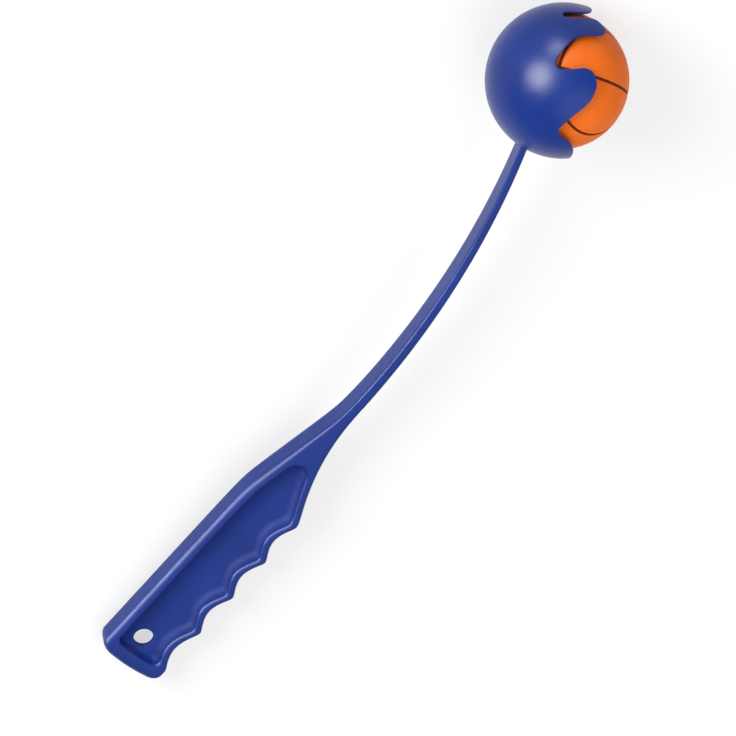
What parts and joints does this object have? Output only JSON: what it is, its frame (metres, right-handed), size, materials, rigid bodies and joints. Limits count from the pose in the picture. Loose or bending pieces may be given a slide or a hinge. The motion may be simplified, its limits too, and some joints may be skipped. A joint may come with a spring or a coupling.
{
  "type": "ball launcher",
  "caption": "Moulded ball launcher for dogs: scalloped grip with a hang hole, springy flat shaft and a claw cup whose fingers hold and release a rubber ball.",
  "frame": {"origin": "middle of the hang hole, on the mid-plane of the stick", "axes": "+X from the butt to the cup along the grip, +Y to the spine of the grip, +Z square to the stick's mid-plane, along the hang hole"},
  "size_m": [0.3783, 0.0839, 0.0674],
  "materials": {
    "stick_plastic": "satin",
    "ball_rubber": "matte",
    "seam_rubber": "matte"
  },
  "bodies": {
    "stick": {"handle": "stick_plastic", "lower_shaft": "stick_plastic"},
    "head": {"upper_shaft": "stick_plastic", "cup_bowl": "stick_plastic"},
    "left_top_finger": {"left_top_finger": "stick_plastic"},
    "right_top_finger": {"right_top_finger": "stick_plastic"},
    "left_side_finger": {"left_side_finger": "stick_plastic"},
    "right_side_finger": {"right_side_finger": "stick_plastic"},
    "ball": {"ball": "ball_rubber", "ball_seam": "seam_rubber"}
  },
  "joints": [
    {"name": "shaft_whip", "type": "hinge", "parent": "stick", "child": "head", "pos_m": [0.22511, 0.00774, 0], "axis": [0, 0, 1], "range_deg": [-8, 8], "stiffness_Nm_per_rad": 2.2},
    {"name": "ball_release", "type": "slide", "parent": "head", "child": "ball", "axis": [0.3907, -0.9205, 0], "range_m": [0, 0.016]},
    {"name": "right_top_finger_flex", "type": "hinge", "parent": "head", "child": "right_top_finger", "pos_m": [0.3593, 0.0494, 0.00809], "axis": [-0.2219, -0.0942, 0.9705], "range_deg": [0, 5.5]},
    {"name": "left_top_finger_flex", "type": "hinge", "parent": "head", "child": "left_top_finger", "pos_m": [0.35817, 0.04892, -0.012], "axis": [0.3291, 0.1397, 0.9339], "range_deg": [0, 5.5]},
    {"name": "right_side_finger_flex", "type": "hinge", "parent": "head", "child": "right_side_finger", "pos_m": [0.33859, 0.04061, 0.032], "axis": [-0.8781, -0.3727, 0.2999], "range_deg": [0, 5.5]},
    {"name": "left_side_finger_flex", "type": "hinge", "parent": "head", "child": "left_side_finger", "pos_m": [0.33859, 0.04061, -0.032], "axis": [0.8781, 0.3727, 0.2999], "range_deg": [0, 5.5]}
  ],
  "couplings": [
    {"joint": "right_top_finger_flex", "follows": "ball_release", "rad_per_m": 5.4542},
    {"joint": "left_top_finger_flex", "follows": "ball_release", "rad_per_m": 5.4542},
    {"joint": "right_side_finger_flex", "follows": "ball_release", "rad_per_m": 5.4542},
    {"joint": "left_side_finger_flex", "follows": "ball_release", "rad_per_m": 5.4542}
  ]
}
